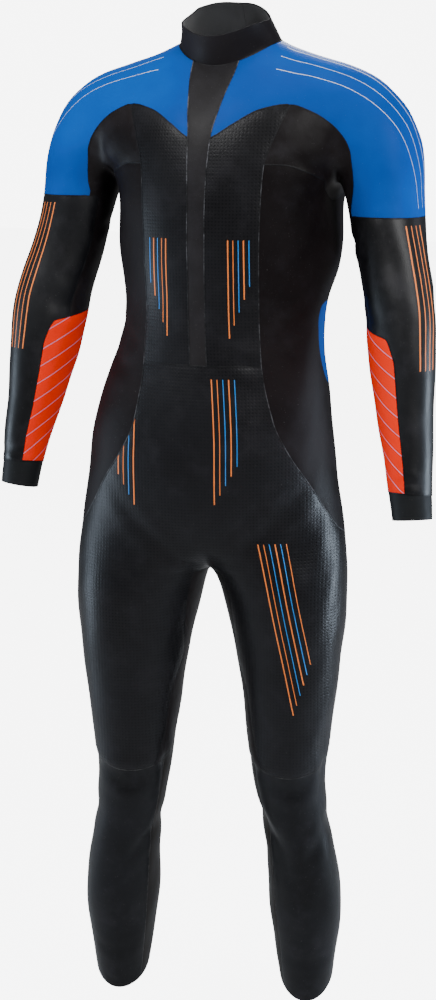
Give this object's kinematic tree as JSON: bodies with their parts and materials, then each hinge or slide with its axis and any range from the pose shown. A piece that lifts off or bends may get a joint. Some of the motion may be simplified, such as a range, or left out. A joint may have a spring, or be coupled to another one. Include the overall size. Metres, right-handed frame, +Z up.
{
  "type": "swimming wetsuit",
  "caption": "Full-length swimming wetsuit with long sleeves, a stand-up collar and a back zip, open at the neck, cuffs and hems, in a standing pose.",
  "frame": {"origin": "between the shoulders, in the wearer's middle plane at shoulder height", "axes": "+Z up the wearer, -Y the way the chest faces, +X the wearer's left"},
  "size_m": [0.6644, 0.2697, 1.4959],
  "materials": {
    "black_neoprene": "smooth skin, semi-gloss",
    "brown_black_neoprene": "smooth skin, semi-gloss",
    "blue_neoprene": "satin",
    "dark_blue_neoprene": "satin",
    "orange_neoprene": "satin",
    "cuff_neoprene": "matt",
    "zip_tape": "woven, matt",
    "zip_metal": "satin"
  },
  "bodies": {
    "suit": {"collar": "black_neoprene", "centre_front": "black_neoprene", "front_left": "black_neoprene", "front_right": "black_neoprene", "front_lower": "black_neoprene", "side_left": "brown_black_neoprene", "side_right": "brown_black_neoprene", "shoulder_left": "blue_neoprene", "shoulder_right": "blue_neoprene", "back_left": "black_neoprene", "back_right": "black_neoprene", "lumbar_left": "dark_blue_neoprene", "lumbar_right": "dark_blue_neoprene", "seat": "black_neoprene", "thigh_back_left": "brown_black_neoprene", "thigh_back_right": "brown_black_neoprene", "shin_left": "black_neoprene", "shin_right": "black_neoprene", "calf_left": "brown_black_neoprene", "calf_right": "brown_black_neoprene", "sleeve_left": "black_neoprene", "sleeve_right": "black_neoprene", "underarm_left": "brown_black_neoprene", "underarm_right": "brown_black_neoprene", "forearm_left": "orange_neoprene", "forearm_right": "orange_neoprene", "cuff_left": "cuff_neoprene", "cuff_right": "cuff_neoprene", "zip_tape_left": "zip_tape", "zip_tape_right": "zip_tape", "collar_tab": "cuff_neoprene", "zip_slider": "zip_metal"},
    "pull": {"zip_pull": "zip_metal"}
  },
  "joints": [
    {"name": "pull_hinge", "type": "hinge", "parent": "suit", "child": "pull", "pos_m": [0, 0.12048, 0.07605], "axis": [1, 0, 0], "range_deg": [0, 150]}
  ]
}
